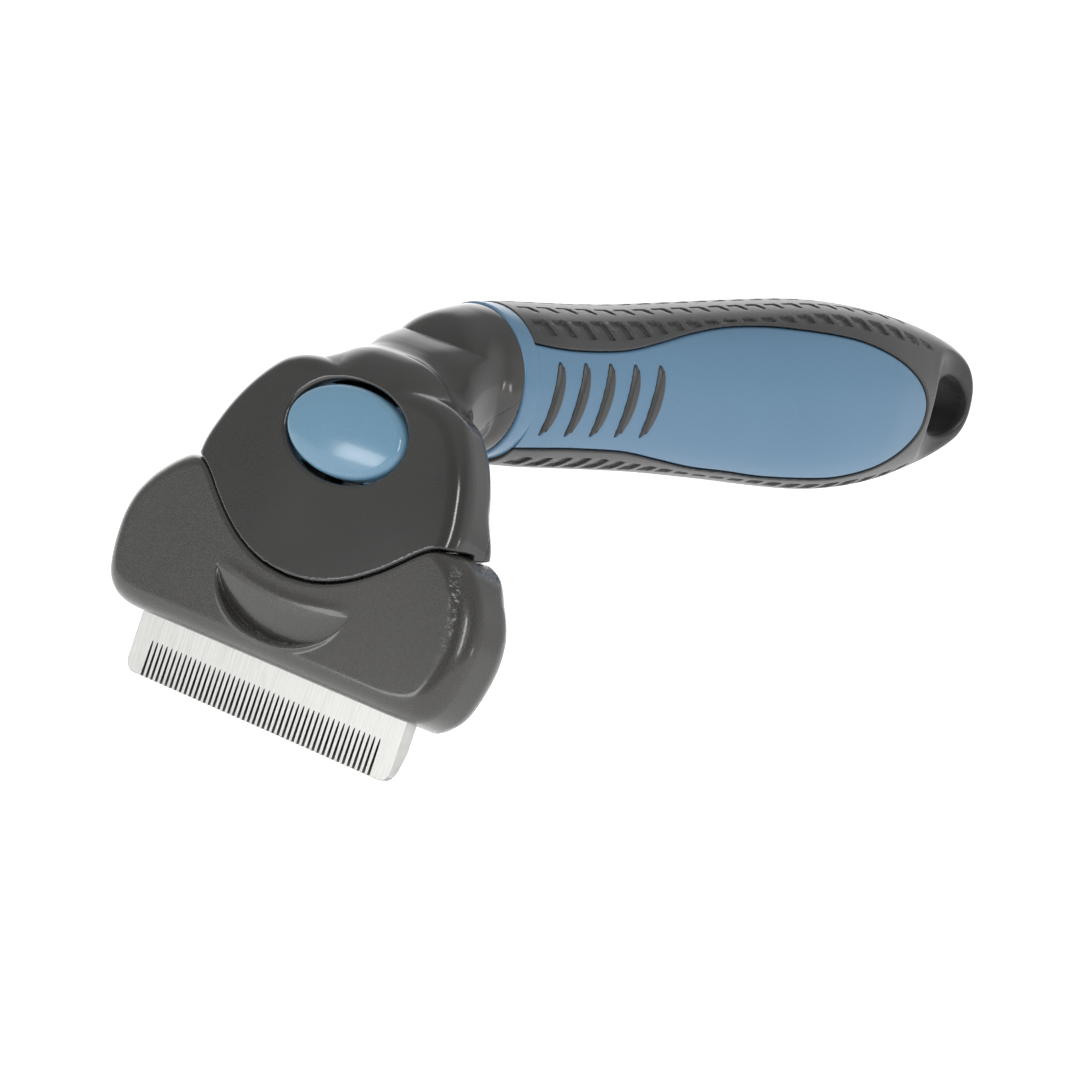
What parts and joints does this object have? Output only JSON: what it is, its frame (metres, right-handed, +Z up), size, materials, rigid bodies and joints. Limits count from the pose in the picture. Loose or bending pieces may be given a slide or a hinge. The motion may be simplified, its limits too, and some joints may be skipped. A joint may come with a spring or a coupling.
{
  "type": "deshedding tool",
  "caption": "Rake-shaped pet deshedding tool: toothed steel blade in a snap-out cartridge, oval release button, swan neck and soft-grip handle with hanging hole.",
  "frame": {"origin": "under the middle of the tool's box, level with the tips of the teeth", "axes": "+X across the head, the tool being symmetric about X = 0; +Y along the handle, away from the head; +Z up, teeth pointing down"},
  "size_m": [0.0868, 0.1652, 0.0778],
  "materials": {
    "head_plastic": "satin moulded ABS with polished edges",
    "cartridge_plastic": "fine spark-eroded grain, edges rubbed smooth",
    "tongue_plastic": "plain moulded",
    "accent_plastic": "satin moulded blue",
    "grip_rubber": "soft-touch thermoplastic rubber",
    "blade_steel": "ground along the teeth",
    "spring_steel": "bright rolled strip and wire",
    "fastener_steel": "zinc plated"
  },
  "bodies": {
    "handle": {"front_housing": "head_plastic", "rear_housing": "head_plastic", "housing_screws": "fastener_steel", "button_spring": "spring_steel", "latch_spring": "spring_steel", "latch_screw": "fastener_steel", "collar_ring": "accent_plastic", "handle_core_left": "accent_plastic", "handle_core_right": "accent_plastic", "core_pins": "fastener_steel", "neck_bolt": "fastener_steel", "neck_nut": "fastener_steel", "grip_overmould": "grip_rubber", "grip_ribs_left": "grip_rubber", "grip_ribs_right": "grip_rubber"},
    "button": {"release_button": "accent_plastic"},
    "cartridge": {"cartridge_front": "cartridge_plastic", "cartridge_rear": "cartridge_plastic", "cartridge_tongue": "tongue_plastic", "comb_blade": "blade_steel", "blade_pins": "fastener_steel", "cartridge_screws": "fastener_steel"}
  },
  "joints": [
    {"name": "button_press", "type": "slide", "parent": "handle", "child": "button", "axis": [0, 0.9588, -0.284], "range_m": [0, 0.0016], "stiffness_N_per_m": 150, "deforming": ["button_spring", "latch_spring"]},
    {"name": "cartridge_release", "type": "slide", "parent": "handle", "child": "cartridge", "axis": [0, -0.284, -0.9588], "range_m": [0, 0.032], "deforming": ["latch_spring"]}
  ]
}
